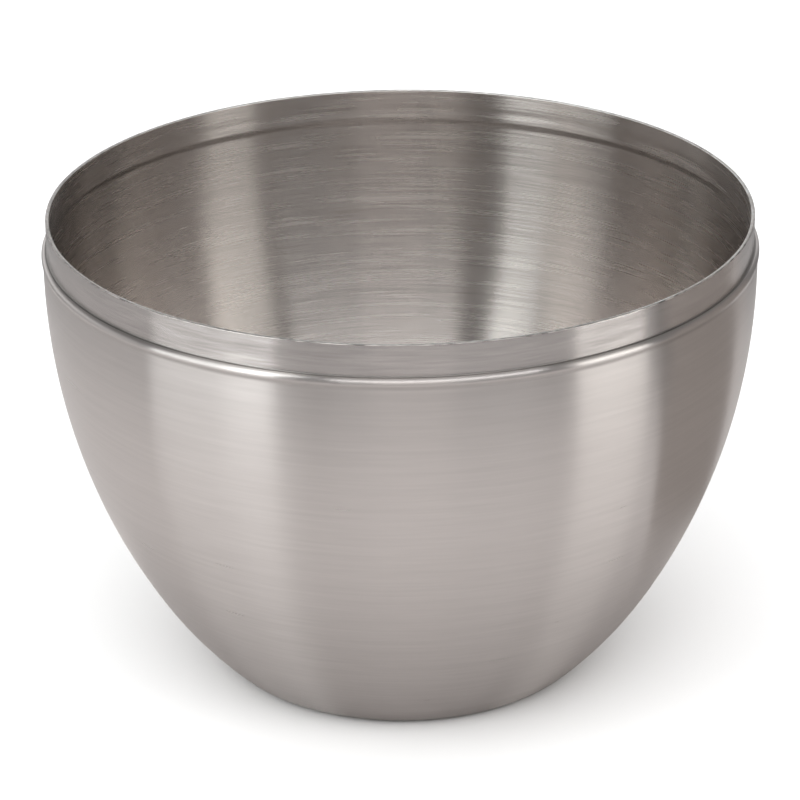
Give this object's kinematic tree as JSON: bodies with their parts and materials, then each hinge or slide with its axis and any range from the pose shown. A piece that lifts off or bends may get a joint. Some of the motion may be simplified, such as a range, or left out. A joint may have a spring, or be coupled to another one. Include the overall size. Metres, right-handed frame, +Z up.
{
  "type": "shaving bowl",
  "caption": "Deep single-wall brushed steel bowl for whipping shaving lather, with a stepped neck above a small bead and a flat base to stand on.",
  "frame": {"origin": "centre of the face that the bowl stands on", "axes": "+Z up along the bowl's axis of revolution, out of the mouth; X and Y are free because the bowl is round"},
  "size_m": [0.105, 0.105, 0.071],
  "materials": {
    "steel_sheet": "fine satin grain running round the bowl, coarser inside"
  },
  "bodies": {
    "root": {"bowl_shell": "steel_sheet"}
  },
  "joints": []
}
